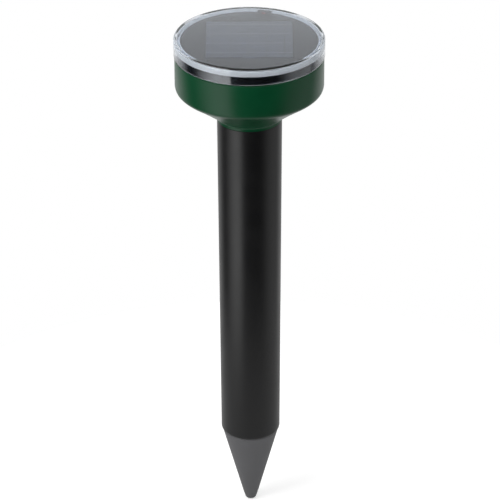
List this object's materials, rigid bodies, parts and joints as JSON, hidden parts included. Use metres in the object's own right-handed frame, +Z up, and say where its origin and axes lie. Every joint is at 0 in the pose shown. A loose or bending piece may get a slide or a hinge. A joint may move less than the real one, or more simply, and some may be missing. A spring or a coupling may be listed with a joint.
{
  "type": "ultrasonic pest repeller",
  "caption": "Round solar head with a clear lid on a tapered tube and pointed spike; pushed into soil, it sounds a buzzer down the stake to drive pests away.",
  "frame": {"origin": "the point of the spike, where the stake enters the soil", "axes": "+Z up along the stake to the solar head, -Y the front, +X to the right seen from the front"},
  "size_m": [0.105, 0.105, 0.375],
  "materials": {
    "spike_plastic": "dark grey moulded polypropylene, satin",
    "tube_plastic": "black extruded plastic tube, satin",
    "green_plastic": "dark green moulded ABS, semi-gloss",
    "rubber": "black moulded rubber",
    "steel": "zinc or nickel plated steel",
    "ferrite": "dark grey sintered ferrite",
    "paper_cone": "black pressed paper speaker cone",
    "copper": "enamelled copper wire",
    "black_plastic": "black moulded ABS",
    "board_laminate": "green glass-epoxy circuit board",
    "cell_wrap": "green shrink sleeve on a rechargeable cell",
    "connector_plastic": "off-white nylon",
    "white_plastic": "white moulded ABS, satin",
    "clear_plastic": "clear moulded styrene, polished",
    "solar_laminate": "dark blue solar cells under clear resin",
    "led_resin": "red tinted epoxy",
    "red_insulation": "red PVC lead",
    "black_insulation": "black PVC lead"
  },
  "bodies": {
    "spike": {"spike": "spike_plastic"},
    "tube": {"stake_tube": "tube_plastic"},
    "head": {"head_housing": "green_plastic", "neck_seal": "rubber", "speaker_frame": "steel", "speaker_yoke": "steel", "cell_spring_1": "steel", "cell_spring_2": "steel", "bridge_plate": "steel", "contact_plate_1": "steel", "contact_plate_2": "steel", "clamp_screw_1": "steel", "clamp_screw_2": "steel", "clamp_screw_3": "steel", "board_screw_1": "steel", "board_screw_2": "steel", "board_screw_3": "steel", "board_screw_4": "steel", "tray_screw_1": "steel", "tray_screw_2": "steel", "tray_screw_3": "steel", "tray_screw_4": "steel", "lid_screw_1": "steel", "lid_screw_2": "steel", "lid_screw_3": "steel", "lid_screw_4": "steel", "speaker_magnet": "ferrite", "boost_coil": "copper", "neck_spigot": "black_plastic", "speaker_clamp": "black_plastic", "battery_tray": "black_plastic", "driver_chip": "black_plastic", "filter_capacitor": "black_plastic", "power_switch": "black_plastic", "circuit_board": "board_laminate", "cell_1": "cell_wrap", "cell_2": "cell_wrap", "board_socket": "connector_plastic", "speaker_lead_red": "red_insulation", "battery_lead_red": "red_insulation", "speaker_lead_black": "black_insulation", "battery_lead_black": "black_insulation", "switch_lead": "black_insulation"},
    "button": {"switch_cap": "rubber", "switch_plunger": "connector_plastic"},
    "diaphragm": {"speaker_cone": "paper_cone", "voice_coil": "copper"},
    "lid": {"panel_plate": "black_plastic", "reflector_ring": "white_plastic", "lid_seal": "rubber", "solar_panel": "solar_laminate", "clear_cover": "clear_plastic", "indicator_led": "led_resin", "lid_plug": "connector_plastic", "solar_lead_red": "red_insulation", "solar_lead_black": "black_insulation", "led_lead": "black_insulation"}
  },
  "joints": [
    {"name": "tube_pull", "type": "slide", "parent": "spike", "child": "tube", "axis": [0, 0, 1], "range_m": [0, 0.04]},
    {"name": "head_pull", "type": "slide", "parent": "tube", "child": "head", "axis": [0, 0, 1], "range_m": [0, 0.03]},
    {"name": "lid_lift", "type": "slide", "parent": "head", "child": "lid", "axis": [0, 0, 1], "range_m": [0, 0.05]},
    {"name": "button_press", "type": "slide", "parent": "head", "child": "button", "axis": [0, 0, 1], "range_m": [0, 0.0015], "stiffness_N_per_m": 400},
    {"name": "cone_travel", "type": "slide", "parent": "head", "child": "diaphragm", "axis": [0, 0, 1], "range_m": [-0.0004, 0.0004], "stiffness_N_per_m": 2000}
  ]
}
